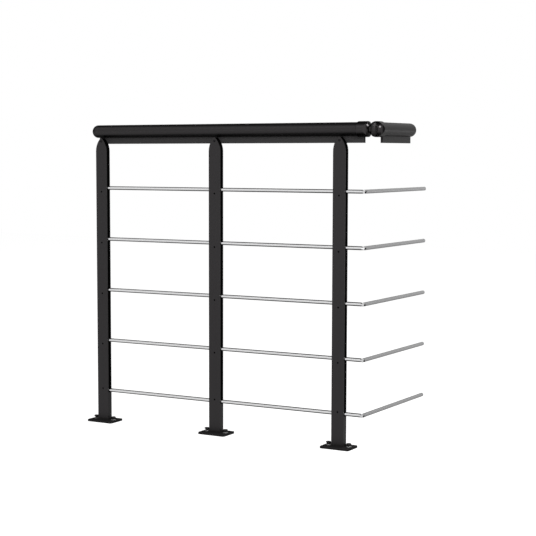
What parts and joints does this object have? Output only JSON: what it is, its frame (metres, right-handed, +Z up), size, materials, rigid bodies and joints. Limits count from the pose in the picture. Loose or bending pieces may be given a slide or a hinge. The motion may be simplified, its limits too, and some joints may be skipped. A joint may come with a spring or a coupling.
{
  "type": "stair railing",
  "caption": "Black post railing with round handrail, steel cross rods, base plates and an adjustable corner elbow with short return rail and rods.",
  "frame": {"origin": "centre of the underside of the middle base plate, on the floor", "axes": "+X along the railing towards the corner, +Y away from the front, the way the return goes at rest, +Z up"},
  "size_m": [1.062, 0.4905, 1.003],
  "materials": {
    "post_black": "satin black powder coat",
    "plate_black": "matt black powder coat",
    "rail_black": "satin black powder coat",
    "cap_black": "satin moulded plastic",
    "elbow_gloss": "gloss black lacquer",
    "rod_steel": "polished stainless steel"
  },
  "bodies": {
    "railing": {"post_left": "post_black", "base_plate_left": "plate_black", "post_middle": "post_black", "base_plate_middle": "plate_black", "post_right": "post_black", "base_plate_right": "plate_black", "handrail": "rail_black", "end_cap_left": "cap_black", "elbow_knob_main": "elbow_gloss", "rod_1": "rod_steel", "rod_2": "rod_steel", "rod_3": "rod_steel", "rod_4": "rod_steel", "rod_5": "rod_steel"},
    "return_rail": {"elbow_knob_return": "elbow_gloss", "elbow_pin": "rod_steel", "return_handrail": "rail_black", "end_cap_return": "cap_black"},
    "rod_return_1": {"return_rod_1": "rod_steel"},
    "rod_return_2": {"return_rod_2": "rod_steel"},
    "rod_return_3": {"return_rod_3": "rod_steel"},
    "rod_return_4": {"return_rod_4": "rod_steel"},
    "rod_return_5": {"return_rod_5": "rod_steel"}
  },
  "joints": [
    {"name": "elbow_swivel", "type": "hinge", "parent": "railing", "child": "return_rail", "pos_m": [0.5458, 0.01375, 0.979], "axis": [0, 0, 1], "range_deg": [-180, 0]},
    {"name": "rod_swivel_1", "type": "hinge", "parent": "railing", "child": "rod_return_1", "pos_m": [0.5234, 0, 0.108], "axis": [0, 0, 1], "range_deg": [-180, 0]},
    {"name": "rod_swivel_2", "type": "hinge", "parent": "railing", "child": "rod_return_2", "pos_m": [0.5234, 0, 0.2788], "axis": [0, 0, 1], "range_deg": [-180, 0]},
    {"name": "rod_swivel_3", "type": "hinge", "parent": "railing", "child": "rod_return_3", "pos_m": [0.5234, 0, 0.4496], "axis": [0, 0, 1], "range_deg": [-180, 0]},
    {"name": "rod_swivel_4", "type": "hinge", "parent": "railing", "child": "rod_return_4", "pos_m": [0.5234, 0, 0.6204], "axis": [0, 0, 1], "range_deg": [-180, 0]},
    {"name": "rod_swivel_5", "type": "hinge", "parent": "railing", "child": "rod_return_5", "pos_m": [0.5234, 0, 0.7912], "axis": [0, 0, 1], "range_deg": [-180, 0]}
  ]
}
